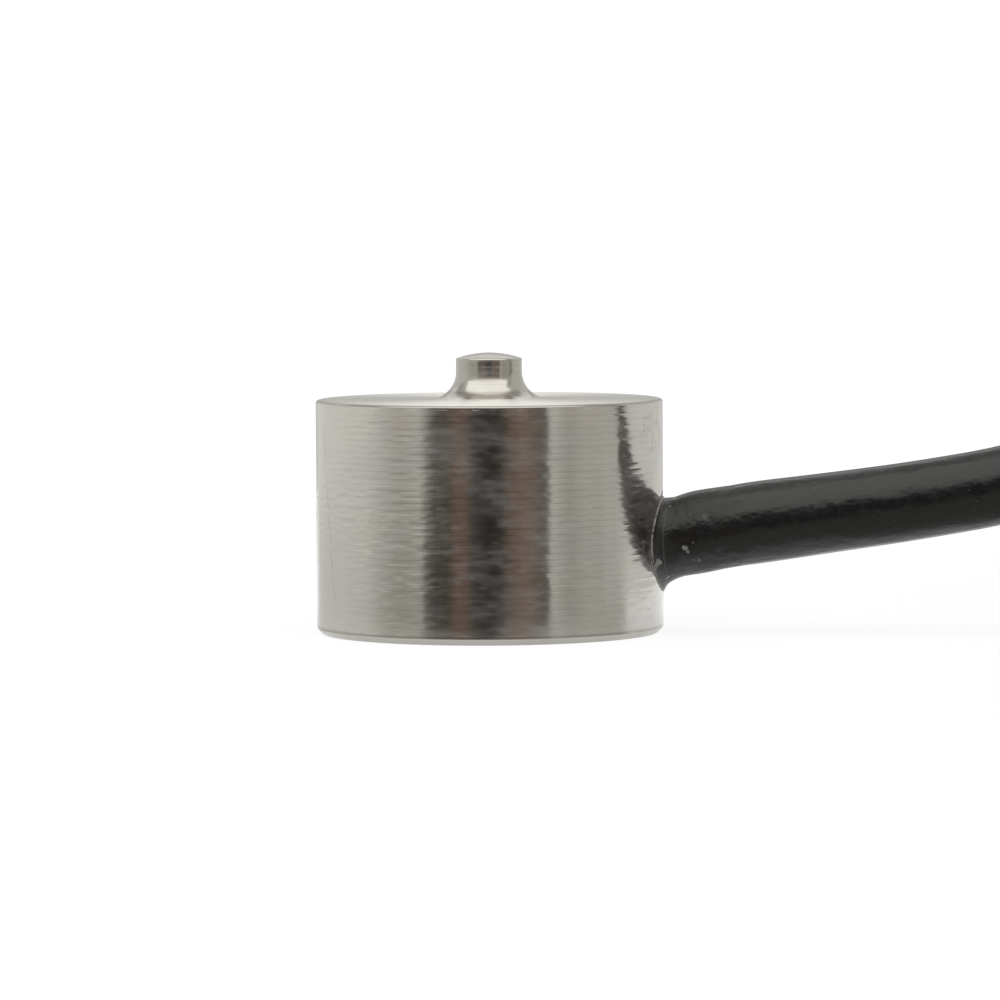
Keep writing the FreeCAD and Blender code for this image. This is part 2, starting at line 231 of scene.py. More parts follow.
class Finish(Graph):
    """Material made of nodes on the object's own coordinates, which are in metres."""

    def __init__(self, name):
        self.material = bpy.data.materials.new(name)
        self.material.use_nodes = True
        super().__init__(self.material.node_tree)
        self.tree.nodes.clear()

    def place(self):
        return self.node("ShaderNodeTexCoord", output="Object")

    def carried(self, name):
        """Value that the mesh carries as an attribute."""
        return self.node("ShaderNodeAttribute", {"attribute_name": name}, output="Fac")

    def stretched(self, *cells):
        """Coordinates with a count of cells a millimetre along each axis."""
        return self.vector("MULTIPLY", self.place(), tuple(count / MM for count in cells))

    def grain(self, cells, detail=2.0, roughness=0.5):
        """Noise with a count of cells a millimetre, one for each axis or one for all."""
        counts = cells if isinstance(cells, tuple) else (cells,) * 3
        return self.noise(self.stretched(*counts), 1.0, detail, roughness)

    def specks(self, cells, size):
        """1 in small scattered spots."""
        sockets = {"Vector": self.stretched(cells, cells, cells)}
        return 1 - self.fade(self.node("ShaderNodeTexVoronoi", None, sockets), size * 0.6, size)

    def mix(self, factor, first, second):
        sockets = {0: factor, 6: first, 7: second}
        return self.node("ShaderNodeMix", {"data_type": "RGBA"}, sockets, output=2)

    def relief(self, height, depth):
        """Normal of a fine relief, its depth in millimetres."""
        return self.node("ShaderNodeBump", None, {"Height": height, "Distance": depth * MM, "Strength": 1.0})

    def surface(self, **sockets):
        """Principled surface. Socket names are given with underscores."""
        named = {name.replace("_", " "): value for name, value in sockets.items()}
        return self.close(self.node("ShaderNodeBsdfPrincipled", None, named))

    def veil(self, share, tone):
        """Shader that glows with a tone where share is 1, and is clear where it is 0."""
        glow = self.node("ShaderNodeEmission", None, {"Color": tone, "Strength": 1.0})
        clear = self.node("ShaderNodeBsdfTransparent")
        return self.close(self.node("ShaderNodeMixShader", None, {0: share, 1: clear, 2: glow}))

    def close(self, shader):
        self.node("ShaderNodeOutputMaterial", None, {"Surface": shader}, output=None)
        return self.material


class Form(Graph):
    """Geometry tree with named inputs. It works on the geometry of the object that carries it."""

    def __init__(self, name, **inputs):
        super().__init__(bpy.data.node_groups.new(name, "GeometryNodeTree"))
        interface = self.tree.interface
        interface.new_socket("Geometry", in_out="INPUT", socket_type="NodeSocketGeometry")
        interface.new_socket("Geometry", in_out="OUTPUT", socket_type="NodeSocketGeometry")
        self.identifiers = {}
        for label, kind in inputs.items():
            socket = interface.new_socket(label, in_out="INPUT", socket_type=f"NodeSocket{kind}")
            self.identifiers[label] = socket.identifier
        self.source, *rest = self.node("NodeGroupInput", output=None)[:-1]
        self.inputs = dict(zip(inputs, rest))

    def attribute(self, name):
        return self.node("GeometryNodeInputNamedAttribute", {"data_type": "FLOAT"}, {"Name": name})

    def close(self, geometry, material):
        real = self.node("GeometryNodeRealizeInstances", None, {"Geometry": geometry})
        dressed = self.node("GeometryNodeSetMaterial", None, {"Geometry": real, "Material": material})
        self.node("NodeGroupOutput", None, {0: dressed}, output=None)

    def grow(self, name, mesh, **values):
        """Object with the plain mesh that the tree makes of a mesh."""
        piece = link(name, mesh)
        modifier = piece.modifiers.new("form", "NODES")
        modifier.node_group = self.tree
        for label, value in values.items():
            modifier[self.identifiers[label]] = value
        depsgraph = bpy.context.evaluated_depsgraph_get()
        made = bpy.data.meshes.new_from_object(piece.evaluated_get(depsgraph), depsgraph=depsgraph)
        piece.modifiers.remove(modifier)
        piece.data = made
        return piece


# Helpers

def polar(radius, degrees):
    turn = math.radians(degrees)
    return Vector((radius * math.cos(turn), radius * math.sin(turn), 0))


def smooth(value):
    value = min(max(value, 0.0), 1.0)
    return value * value * (3 - 2 * value)


def even(start, end, steps):
    """Values from start to end in even steps."""
    return [start + (end - start) * step / steps for step in range(steps + 1)]


def swelling(step, steps, over):
    """Share that rises from 0 in the first steps and falls to 0 in as many last ones."""
    return min(1.0, step / over, (steps - step) / over)


def heights(base, *offsets):
    """Heights in metres, given in millimetres over a base."""
    return [(base + offset) * MM for offset in offsets]


def link(name, data):
    piece = bpy.data.objects.new(name, data)
    bpy.context.collection.objects.link(piece)
    return piece


def mesh_object(name, points, faces, material):
    """Object with a smooth mesh, its points in millimetres."""
    mesh = bpy.data.meshes.new(name)
    mesh.from_pydata([Vector(point) * MM for point in points], [], faces)
    mesh.shade_smooth()
    mesh.materials.append(material)
    return link(name, mesh)


def ring_faces(rings, around):
    """Quads of a tube of closed rings."""
    faces = []
    for ring in range(rings - 1):
        for step in range(around):
            ahead = (step + 1) % around
            low = ring * around
            faces.append((low + step, low + ahead, low + around + ahead, low + around + step))
    return faces


def outward_normals(piece):
    mesh = bmesh.new()
    mesh.from_mesh(piece.data)
    bmesh.ops.recalc_face_normals(mesh, faces=mesh.faces)
    mesh.to_mesh(piece.data)
    mesh.free()


def carry(mesh, name, values):
    """Give each point of a mesh a value."""
    mesh.attributes.new(name, "FLOAT", "POINT").data.foreach_set("value", values)


def line_mesh(name, points, closed=False):
    """Mesh of a line, its points in metres."""
    mesh = bpy.data.meshes.new(name)
    edges = [(step, step + 1) for step in range(len(points) - 1)]
    if closed:
        edges.append((len(points) - 1, 0))
    mesh.from_pydata(points, edges, [])
    return mesh


def flex(name, points, radius, material=None):
    """NURBS curve along points in millimetres, each with its own share of the radius."""
    curve = bpy.data.curves.new(name, "CURVE")
    curve.dimensions = "3D"
    curve.resolution_u = 6
    curve.bevel_depth = radius * MM
    curve.bevel_resolution = 6
    curve.use_fill_caps = True
    spline = curve.splines.new("NURBS")
    spline.points.add(len(points) - 1)
    for knot, (x, y, z, share) in zip(spline.points, points):
        knot.co = (x * MM, y * MM, z * MM, 1.0)
        knot.radius = share
    spline.order_u = 3
    spline.use_endpoint_u = True
    if material:
        curve.materials.append(material)
    return link(name, curve)


def as_mesh(curve):
    """The same piece with its curve made a mesh."""
    depsgraph = bpy.context.evaluated_depsgraph_get()
    mesh = bpy.data.meshes.new_from_object(curve.evaluated_get(depsgraph))
    name = curve.name
    bpy.data.objects.remove(curve)
    return link(name, mesh)


# Finishes

def steel_scratches(finish, bearing, z):
    """One long scratch down the left of the wall, and short curls at its upper right."""
    wobble = finish.noise(finish.joined(z * (1.1 / MM), 0.0, 0.0), 1.0, 3.0) - 0.5
    drift = abs(bearing + 2.73 - (7.4 * MM - z) * (0.024 / MM) - wobble * 0.06)
    long_scratch = (1 - finish.fade(drift, 0.003, 0.009)) * (z < 7.3 * MM) * (z > 1.4 * MM)
    curls = finish.noise(finish.joined(bearing * 17, z * (1.4 / MM), 0.0), 1.0, 1.0)
    curl_lines = 1 - finish.fade(abs(curls - 0.5), 0.01, 0.04)
    upper = finish.fade(z, *heights(0, 5.9, 6.9)) * (z < 7.95 * MM)
    right = finish.fade(bearing, -0.50, -0.38) * (bearing < -0.1)
    return long_scratch * 0.3 + curl_lines * upper * right * 0.5


def turned_steel():
    """Turned steel: feed lines, partly painted shade, chatter that differs from pass to pass, a dull film
    and a few scratches, and painted highlight and shade on the top face, its rounded edge, the button, the
    foot and the bottom of the wall.
    """
    finish = Finish("turned_steel")
    x, y, z = finish.parts(finish.place())
    bearing = finish.math("ARCTAN2", y, x)
    mark = finish.carried("tool_mark")
    tool_pass = finish.carried("tool_pass").math("ROUND")
    groove = 1 - finish.fade(mark, 0.0, 1.0)
    chatter = finish.noise(finish.joined(x * (1.2 / MM), y * (1.2 / MM), tool_pass * 3.7), 1.0, 1.0)
    fine = finish.grain((0.5, 0.5, 12.0), 2.0, 0.6)
    smudge = finish.grain((0.45, 0.45, 0.6), 3.0, 0.55)
    film = finish.grain((0.9, 0.9, 3.0), 4.0, 0.6)
    button = finish.fade(z, *heights(BODY_H, 0.03, 0.4))
    fillet_base_painted_shade = finish.band(z, *heights(BODY_H, 0.02, 0.12, 0.24, 0.34))
    face = finish.band(z, *heights(BODY_H, -0.08, -0.02, 0.015, 0.07))
    # Painted shade: a dark band on the rounded top edge.
    painted_rim_shade = finish.band(z, *heights(BODY_H, -0.11, -0.07, -0.03, -0.005))
    foot = 1 - finish.fade(z, *heights(0, 0.15, 0.25))
    foot_line_painted_shade = finish.band(z, *heights(0, 0.19, 0.23, 0.25, 0.34))
    near_foot = 1 - finish.fade(z, *heights(0, 0.2, 1.1))

    tone = finish.mix(fine, (0.62, 0.605, 0.57, 1), (0.58, 0.565, 0.53, 1))
    hazed = finish.mix(finish.fade(smudge, 0.45, 0.7) * 0.4, tone, (0.54, 0.545, 0.55, 1))
    # Weight that is high on the bearings toward and away from the camera and low at the sides. It sets where
    # light and shade are painted: the shade of the feed lines and the highlight of the top face.
    painted_light_by_bearing = 0.55 + 0.45 * ((bearing + 1.49) * 2).math("COSINE")
    # Feed lines in dark brown: partly the tool marks themselves, partly painted shade, strongest toward and
    # away from the camera.
    lines = finish.fade(mark, 0.45, 1.0) * painted_light_by_bearing * (0.6 + 0.4 * finish.fade(chatter, 0.35, 0.6))
    lined = finish.mix(lines * 0.3, hazed, (0.27, 0.22, 0.19, 1))
    # Painted highlight on the top face: bright toward and away from the camera, darker at the sides.
    painted_face_highlight = finish.mix(painted_light_by_bearing, (0.47, 0.46, 0.43, 1), (0.86, 0.85, 0.82, 1))
    with_painted_face_highlight = finish.mix(face, lined, painted_face_highlight)
    # The painted shade of the rounded top edge is mixed in here.
    with_painted_rim_shade = finish.mix(painted_rim_shade * 0.9, with_painted_face_highlight, (0.35, 0.335, 0.31, 1))
    # Painted shade: the whole button and the foot are darker.
    with_painted_button_and_foot_shade = finish.mix(button * 0.75 + foot * 0.9, with_painted_rim_shade, (0.42, 0.405, 0.37, 1))
    # Painted shade in the crease where the button's fillet meets the top face.
    with_painted_fillet_base_shade = finish.mix(fillet_base_painted_shade * 0.5, with_painted_button_and_foot_shade, (0.25, 0.215, 0.175, 1))
    # Painted shade: a dark line at the bottom of the wall, just above the foot chamfer.
    with_painted_edge_line = finish.mix(foot_line_painted_shade * 0.5, with_painted_fillet_base_shade, (0.26, 0.215, 0.18, 1))
    scratches = steel_scratches(finish, bearing, z) * finish.fade(film, 0.35, 0.55)
    scratched = finish.mix(scratches, with_painted_edge_line, (0.16, 0.145, 0.13, 1))

    rough = 0.11 + 0.05 * fine + 0.16 * finish.fade(smudge, 0.45, 0.75) * chatter
    dull = rough + 0.03 * button + 0.26 * face + 0.16 * near_foot
    grime = 0.13 * finish.fade(film, 0.42, 0.72) + 0.06 * finish.fade(smudge, 0.5, 0.72)
    burrs = finish.fade(mark, 0.45, 0.95) * button
    return finish.surface(
        Base_Color=scratched,
        Metallic=1 - grime - 0.3 * burrs,
        Roughness=dull,
        Anisotropic=0.6,
        Anisotropic_Rotation=0.25,
        Normal=finish.relief((chatter - 0.5) * groove + fine * 0.03, 0.018),
    )


def pressed_steel():
    """Pressed steel with faint rings."""
    finish = Finish("cover_steel")
    x, y, _ = finish.parts(finish.place())
    radius = (x * x + y * y) ** 0.5
    lines = finish.noise(finish.joined(radius * (9 / MM), 0.0, 0.0), 1.0, 3.0)
    smudge = finish.grain(0.5, 3.0)
    tone = finish.mix(smudge, (0.60, 0.59, 0.56, 1), (0.50, 0.49, 0.46, 1))
    return finish.surface(
        Base_Color=tone, Metallic=1.0, Roughness=0.25 + 0.2 * lines, Normal=finish.relief(lines, 0.01)
    )


def cable_jacket():
    """Black jacket with a wavy, dimpled skin and some dust."""
    finish = Finish("black_jacket")
    waves = finish.grain((0.45, 0.9, 0.9), 3.0, 0.55)
    dimples = finish.grain((1.7, 1.9, 1.9), 2.0, 0.55)
    mottle = finish.grain(5.0, 3.0, 0.6)
    dust = finish.specks(0.9, 0.1) * finish.fade(finish.grain(0.7), 0.5, 0.6)
    patches = finish.fade(mottle, 0.35, 0.7)
    tone = finish.mix(patches, (0.0032, 0.0034, 0.0038, 1), (0.0075, 0.0075, 0.0078, 1))
    dusty = finish.mix(dust * 0.5, tone, (0.22, 0.21, 0.19, 1))
    rough = 0.21 + 0.12 * mottle + 0.08 * waves
    return finish.surface(
        Base_Color=dusty,
        Roughness=rough,
        Specular_IOR_Level=0.47,
        Normal=finish.relief(waves + 0.22 * dimples + 0.1 * mottle, 0.09),
    )


def black_sealant():
    """Lumpy black sealant with a painted highlight along its lip and pale flecks near the wall."""
    finish = Finish("black_sealant")
    lumps = finish.grain(1.3, 3.0, 0.55)
    mottle = finish.grain(6.0, 3.0, 0.6)
    near_wall = 1 - finish.fade(finish.parts(finish.place())[0], 6.8 * MM, 7.8 * MM)
    flecks = finish.fade(finish.grain(2.1, 2.0, 0.6), 0.635, 0.70) * near_wall
    # Painted highlight along the lip of the bead.
    painted_lip_highlight = finish.fade(finish.carried("lip"), 0.4, 0.9) * finish.fade(mottle, 0.25, 0.5)
    tone = finish.mix(mottle, (0.0035, 0.0036, 0.004, 1), (0.009, 0.0088, 0.0085, 1))
    with_painted_edge_line = finish.mix(painted_lip_highlight, tone, (0.30, 0.27, 0.23, 1))
    flecked = finish.mix(flecks * 0.6, with_painted_edge_line, (0.36, 0.345, 0.32, 1))
    return finish.surface(
        Base_Color=flecked,
        Roughness=0.28 + 0.14 * mottle,
        Specular_IOR_Level=0.42,
        Normal=finish.relief(lumps + 0.12 * mottle, 0.1),
    )


def moulded(name, light, dark, roughness):
    """Smooth insulation or moulded plastic with a slight mottle."""
    finish = Finish(name)
    mottle = finish.grain(2.2, 3.0, 0.6)
    fine = finish.grain(11.0, 2.0)
    return finish.surface(
        Base_Color=finish.mix(finish.fade(mottle, 0.3, 0.7), light, dark),
        Roughness=roughness + 0.12 * fine,
        Normal=finish.relief(fine, 0.006),
    )


def bright_metal(name, light, dark, roughness):
    """Tinned, soldered or drawn metal with a cloudy shine."""
    finish = Finish(name)
    clouds = finish.grain(3.0, 3.0, 0.6)
    fine = finish.grain(14.0, 2.0)
    return finish.surface(
        Base_Color=finish.mix(clouds, light, dark),
        Metallic=1.0,
        Roughness=roughness + 0.2 * clouds,
        Normal=finish.relief(fine, 0.004),
    )


def gauge_foil():
    """Amber film above, etched foil below."""
    finish = Finish("gauge_foil")
    _, _, z = finish.parts(finish.place())
    foil = z < (DIAPHRAGM_Z - 0.055) * MM
    clouds = finish.grain(4.0, 3.0)
    film = finish.mix(clouds, (0.62, 0.30, 0.06, 1), (0.50, 0.22, 0.04, 1))
    metal = finish.mix(clouds, (0.62, 0.52, 0.42, 1), (0.52, 0.42, 0.32, 1))
    return finish.surface(
        Base_Color=finish.mix(foil, film, metal), Metallic=foil, Roughness=0.32 + 0.12 * clouds
    )


def circuit_board():
    finish = Finish("circuit_board")
    weave = finish.grain((3.0, 9.0, 3.0), 2.0) * 0.5 + finish.grain((9.0, 3.0, 3.0), 2.0) * 0.5
    tone = finish.mix(finish.fade(weave, 0.4, 0.6), (0.022, 0.13, 0.05, 1), (0.03, 0.17, 0.07, 1))
    return finish.surface(Base_Color=tone, Roughness=0.35 + 0.15 * weave, Normal=finish.relief(weave, 0.006))


def chip_body():
    finish = Finish("chip_body")
    clouds = finish.grain(5.0, 2.0)
    tone = finish.mix(clouds, (0.02, 0.02, 0.022, 1), (0.05, 0.05, 0.05, 1))
    return finish.surface(Base_Color=tone, Roughness=0.4 + 0.2 * clouds, Normal=finish.relief(clouds, 0.004))


# Turned body

def bore_rows():
    """Inside of the body: boss, gauge bore, shoulder for the board, bore and seat of the cover."""
    rows = [
        (0, BOSS_Z, 0),
        (BOSS_R - BOSS_EDGE, BOSS_Z, 0),
        (BOSS_R, BOSS_Z + BOSS_EDGE, 0),
        (BOSS_R, DIAPHRAGM_Z - INNER_FILLET, 0),
        (BOSS_R + INNER_FILLET, DIAPHRAGM_Z, 0),
        (GAUGE_BORE_R - INNER_FILLET, DIAPHRAGM_Z, 0),
        (GAUGE_BORE_R, DIAPHRAGM_Z - INNER_FILLET, 0),
        (GAUGE_BORE_R, BOARD_SEAT_Z, 0),
    ]
    rows += [(BORE_R, height, 0) for height in even(BOARD_SEAT_Z, COVER_SEAT_Z, 12)]
    return rows + [
        (COVER_SEAT_R, COVER_SEAT_Z, 0),
        (COVER_SEAT_R, FOOT_EDGE, 0),
        (COVER_SEAT_R + FOOT_EDGE, 0, 0),
    ]


def foot_rows():
    """Flat foot with light marks, and its chamfer with softened edges."""
    chamfer_r = BODY_R - FOOT_CHAMFER
    foot = even(COVER_SEAT_R + 2 * FOOT_EDGE, chamfer_r - FOOT_EDGE, 11)
    return [(radius, 0, 0.25) for radius in foot] + [
        (chamfer_r + 0.015, 0.006, 0),
        (chamfer_r + 0.04, 0.03, 0),
        (BODY_R - 0.03, FOOT_CHAMFER - 0.04, 0),
        (BODY_R - 0.006, FOOT_CHAMFER - 0.005, 0),
    ]


def wall_rows():
    """Wall with full marks, and its rounded top edge."""
    wall_start = FOOT_CHAMFER + 0.04
    wall_end = BODY_H - TOP_EDGE_DROP
    steps = round((wall_end - wall_start) / FEED * ROWS_A_FEED)
    wall = enumerate(even(wall_start, wall_end, steps))
    rows = [(BODY_R, height, swelling(step, steps, 6)) for step, height in wall]
    for turn in even(0, math.pi / 2, 8)[1:]:
        radius = BODY_R - TOP_EDGE_R * (1 - math.cos(turn))
        rows.append((radius, wall_end + TOP_EDGE_DROP * math.sin(turn), 0))
    return rows


def face_rows():
    """Top face with faint marks."""
    steps = 48
    face = even(BODY_R - TOP_EDGE_R - 0.05, BUTTON_R + BUTTON_FILLET_R + 0.03, steps)
    return [(radius, BODY_H, 0.3 * swelling(step, steps, 4)) for step, radius in enumerate(face)]


def button_rows():
    """Fillet, wall and dome of the load button. Full marks begin at the top of the fillet."""
    rows = []
    fillet_r = BUTTON_R + BUTTON_FILLET_R
    fillet_z = BODY_H + BUTTON_FILLET_R
    for step, degrees in enumerate(even(270, 180, 40)):
        turn = math.radians(degrees)
        share = max(0.35 * smooth((step - 16) / 16), smooth((step - 34) / 5))
        radius = fillet_r + BUTTON_FILLET_R * math.cos(turn)
        rows.append((radius, fillet_z + BUTTON_FILLET_R * math.sin(turn), share))
    wall = even(fillet_z, BUTTON_TOP_Z - DOME_RISE - BUTTON_EDGE, 16)[1:]
    rows += [(BUTTON_R, height, 1.0) for height in wall[:-2]]
    rows += [(BUTTON_R, height, 0) for height in wall[-2:]]
    dome_r = (BUTTON_R ** 2 + DOME_RISE ** 2) / (2 * DOME_RISE)
    half = math.asin(BUTTON_R / dome_r)
    for turn in [half * 0.985] + even(half, 0, 14)[1:]:
        rows.append((dome_r * math.sin(turn), BUTTON_TOP_Z - dome_r * (1 - math.cos(turn)), 0))
    return rows


def body_profile():
    """Outline of the turned body from the inside out, as radius, height and share of the tool marks."""
    return bore_rows() + foot_rows() + wall_rows() + face_rows() + button_rows()


def profile_mesh(rows):
    """Outline as a line that carries its length so far and its share of marks."""
    mesh = line_mesh("body_outline", [Vector((radius, 0, height)) * MM for radius, height, _ in rows])
    lengths = [0.0]
    for before, after in zip(rows, rows[1:]):
        lengths.append(lengths[-1] + math.hypot(after[0] - before[0], after[1] - before[1]))
    carry(mesh, "run", lengths)
    carry(mesh, "share", [marks for _, _, marks in rows])
    return mesh


def turned_form(material):
    """Tree that turns an outline about Z, notes the passes of the tool on it and cuts the cable's hole."""
    form = Form("turned_form", Segments="Int", Feed="Float")
    segments, feed = form.inputs.values()
    sizes = {0: form.source}
    rows = form.node("GeometryNodeAttributeDomainSize", {"component": "MESH"}, sizes, "Point Count")
    grid = form.node("GeometryNodeMeshGrid", None, {"Vertices X": segments + 1, "Vertices Y": rows})
    index = form.node("GeometryNodeInputIndex")
    row = form.math("MODULO", index, rows)
    turn = (index / rows).math("FLOOR") / segments * math.tau

    def sampled(value, kind="FLOAT"):
        sockets = {"Geometry": form.source, "Value": value, "Index": row}
        return form.node("GeometryNodeSampleIndex", {"data_type": kind, "domain": "POINT"}, sockets)

    radius, _, height = form.parts(sampled(form.node("GeometryNodeInputPosition"), "FLOAT_VECTOR"))
    count = sampled(form.attribute("run")) / feed
    share = sampled(form.attribute("share"))
    pass_number = count.math("FLOOR")
    across = (count - pass_number) * 2 - 1
    ridge = across * across
    position = form.joined(radius * turn.math("COSINE"), radius * turn.math("SINE"), height)
    marked = grid
    for name, value in (("tool_mark", share * ridge), ("tool_pass", pass_number)):
        marked = form.node(
            "GeometryNodeStoreNamedAttribute",
            {"data_type": "FLOAT", "domain": "POINT"},
            {"Geometry": marked, "Name": name, "Value": value},
        )
    placed = form.node("GeometryNodeSetPosition", None, {"Geometry": marked, "Position": position})
    closed = form.node("GeometryNodeMergeByDistance", None, {"Geometry": placed, "Distance": 1e-7})
    x, y, z = form.parts(form.node("GeometryNodeInputPosition"))
    up = z - HOLE_Z * MM
    in_wall = (x > 0) * (x * x + y * y > (BORE_R * MM * 0.99) ** 2)
    in_hole = (y * y + up * up < (HOLE_R * MM) ** 2) * in_wall
    drilled = form.node(
        "GeometryNodeDeleteGeometry", {"domain": "FACE"}, {"Geometry": closed, "Selection": in_hole}
    )
    form.close(form.node("GeometryNodeSetShadeSmooth", None, {"Geometry": drilled}), material)
    return form


def spring_body(material):
    outline = profile_mesh(body_profile())
    body = turned_form(material).grow("turned_body", outline, Segments=BODY_SEGMENTS, Feed=FEED)
    outward_normals(body)
    return body


# Sealant bead

# Rings of the bead: distance from the axis, height of the middle, half width, half height, how far it
# follows the round wall, and share of the painted highlight on the lip
SEAL_RINGS = (
    (5.84, 3.18, 1.90, 1.77, 1.0, 0.0),
    (5.95, 3.15, 1.90, 1.74, 1.0, 0.0),
    (6.00, 3.06, 1.90, 1.65, 1.0, 0.6),
    (6.035, 3.065, 1.88, 1.64, 1.0, 1.0),
    (6.045, 3.065, 1.85, 1.62, 1.0, 0.5),
    (6.05, 3.065, 1.815, 1.60, 1.0, 0.0),
    (6.08, 3.085, 1.73, 1.56, 0.95, 0.0),
    (6.14, 3.145, 1.64, 1.505, 0.85, 0.0),
    (6.22, 3.195, 1.565, 1.475, 0.7, 0.55),
    (6.35, 3.243, 1.50, 1.443, 0.5, 0.0),
    (6.56, 3.324, 1.458, 1.424, 0.3, 0.0),
    (6.87, 3.404, 1.452, 1.438, 0.1, 0.0),
    (7.28, 3.475, 1.462, 1.462, 0.0, 0.0),
    (7.80, 3.56, 1.443, 1.443, 0.0, 0.0),
    (8.30, 3.64, 1.426, 1.426, 0.0, 0.0),
    (8.90, 3.73, 1.408, 1.408, 0.0, 0.0),
    (9.60, 3.835, 1.36, 1.36, 0.0, 0.0),
)
SEAL_AROUND = 48


def sealant_bead(material):
    """Bead that clings to the round wall and narrows to the cable. Its lip carries an attribute, the share
    of a painted highlight.
    """
    points = []
    lips = []
    for out, centre_z, wide, tall, cling, lip in SEAL_RINGS:
        for step in range(SEAL_AROUND):
            turn = math.tau * step / SEAL_AROUND
            ripple = 1 + 0.008 * math.sin(3 * turn + 5 * out) + 0.006 * math.sin(7 * turn + 2 * out)
            y = wide * ripple * math.cos(turn)
            z = centre_z + tall * ripple * math.sin(turn)
            wall = math.sqrt(BODY_R ** 2 - y * y) - BODY_R
            points.append((out + wall * cling, y, z))
            lips.append(lip)
    faces = ring_faces(len(SEAL_RINGS), SEAL_AROUND)
    bead = mesh_object("sealant_bead", points, faces, material)
    carry(bead.data, "lip", lips)
    outward_normals(bead)
    smoother = bead.modifiers.new("smoother", "SUBSURF")
    smoother.levels = 2
    smoother.render_levels = 2
    return bead


# Cable

def lane_moves():
    """Where the cable goes over to its next lane: the angle wound so far, and the change of lane."""
    moves = []
    angle = FIRST_MOVE
    for layer in range(LANES_HIGH):
        sideways = -1 if layer % 2 == 0 else 1
        for _ in range(LANES_WIDE - 1):
            moves.append((angle, sideways * LANE, 0.0))
            angle += 360
        moves.append((angle - DROP_LEAD, 0.0, -LANE))
        angle += NEXT_LAYER
    return moves[:-1]


def coil_points():
    """Control points of the turns, layer by layer from the top, each turn a lane on."""
    moves = lane_moves()
    wound = moves[-1][0] + LAST_STRETCH - ENTRY_ANGLE
    count = round(wound / WINDING_STEP)
    step = wound / count
    points = []
    for number in range(count):
        angle = ENTRY_ANGLE + step * (number + 0.5)
        radius = OUTER_LANE_R
        height = TOP_LANE_Z
        for middle, sideways, down in moves:
            share = smooth((angle - middle) / MOVE_SPAN + 0.5)
            radius += sideways * share
            height += down * share
        from_tie = (angle + 180) % 360 - 180
        pinch = math.exp(-(from_tie / PINCH_SPAN) ** 2)
        radius = COIL_R + (radius - COIL_R) * (1 - PINCH_WIDTH * pinch)
        height = COIL_MIDDLE_Z + (height - COIL_MIDDLE_Z) * (1 - PINCH_HEIGHT * pinch)
        place = polar(radius / math.cos(math.radians(step / 2)), angle)
        points.append((COIL_X + place.x, COIL_Y + place.y, height, 1.0))
    return points


def tail_points():
    """End of the cable, lying on the floor past the coil."""
    here = Vector((COIL_X, COIL_Y, FLOOR_LANE_Z)) + polar(OUTER_LANE_R, TAIL_ANGLE)
    points = []
    for heading in TAIL_HEADINGS:
        here = here + polar(TAIL_RUN, heading)
        points.append((*here, 1.0))
    return points


def cable(material):
    return flex("signal_cable", list(ROUTE) + coil_points() + tail_points(), CABLE_R, material)


def fanned_points(side, level, fan, rest, radius):
    """Points of a core that fans out from the end of the cable and comes down to the floor."""
    heading = TAIL_HEADINGS[-1]
    start = Vector(tail_points()[-1][:3]) + polar(side, heading + 90) + Vector((0, 0, level))
    away = start + polar(LEAD_RUN / 2, heading)
    down = away + polar(LEAD_RUN, heading + fan)
    down.z = radius
    end = down + polar(LEAD_RUN, heading + fan + rest)
    inside = start - polar(LEAD_INSIDE, heading)
    return [(*point, 1.0) for point in (inside, start, away, down, end)]


def stranded_form(material):
    """Tree that lays strands round a line in a helix."""
    form = Form("stranded_form", Strands="Int", Bundle="Float", Strand="Float", Turns="Float")
    strands, bundle, strand, turns = form.inputs.values()
    line = form.node("GeometryNodeMeshToCurve", None, {0: form.source})
    resampled = form.node("GeometryNodeResampleCurve", None, {"Curve": line, "Count": 60})
    sockets = {"Geometry": resampled, "Amount": strands}
    copies, number = form.node("GeometryNodeDuplicateElements", {"domain": "SPLINE"}, sockets, None)
    factor = form.node("GeometryNodeSplineParameter", output="Factor")
    turn = (number / strands + factor * turns) * math.tau
    normal = form.node("GeometryNodeInputNormal")
    side = form.vector("CROSS_PRODUCT", form.node("GeometryNodeInputTangent"), normal)
    first = form.scaled(normal, turn.math("COSINE") * bundle)
    second = form.scaled(side, turn.math("SINE") * bundle)
    offset = form.vector("ADD", first, second)
    laid = form.node("GeometryNodeSetPosition", None, {"Geometry": copies, "Offset": offset})
    section = form.node("GeometryNodeCurvePrimitiveCircle", None, {"Resolution": 8, "Radius": strand})
    sockets = {"Curve": laid, "Profile Curve": section, "Fill Caps": True}
    wires = form.node("GeometryNodeCurveToMesh", None, sockets)
    form.close(form.node("GeometryNodeSetShadeSmooth", None, {"Geometry": wires}), material)
    return form


def twisted(form, name, line, twist):
    """Strands twisted along a line."""
    count, bundle, strand, turns = twist
    return form.grow(name, line, Strands=count, Bundle=bundle * MM, Strand=strand * MM, Turns=turns)


# Band round the coil

# Thickness and width, half the width of the loop, its lowest and highest edge, and its corners
TIE_T = 0.45
TIE_W = 2.6
TIE_HALF = 5.125
TIE_LOW = 0.46
TIE_HIGH = 10.54
TIE_CORNER = 1.5
TIE_RIB_PITCH = 0.6
# Block, cut end of the band through it, and tongue: size, centre from the middle of the bundle, bevel
TIE_HEAD_BLOCKS = (
    ((2.7, 3.9, 2.3), (TIE_HALF + 1.75, 0, 6.6), 0.35),
    ((0.5, TIE_W, 3.4), (TIE_HALF + 1.9, 0, 6.9), 0.12),
    ((1.5, TIE_W * 0.7, 0.3), (TIE_HALF + 1.6, 0, 5.45), 0.1),
)


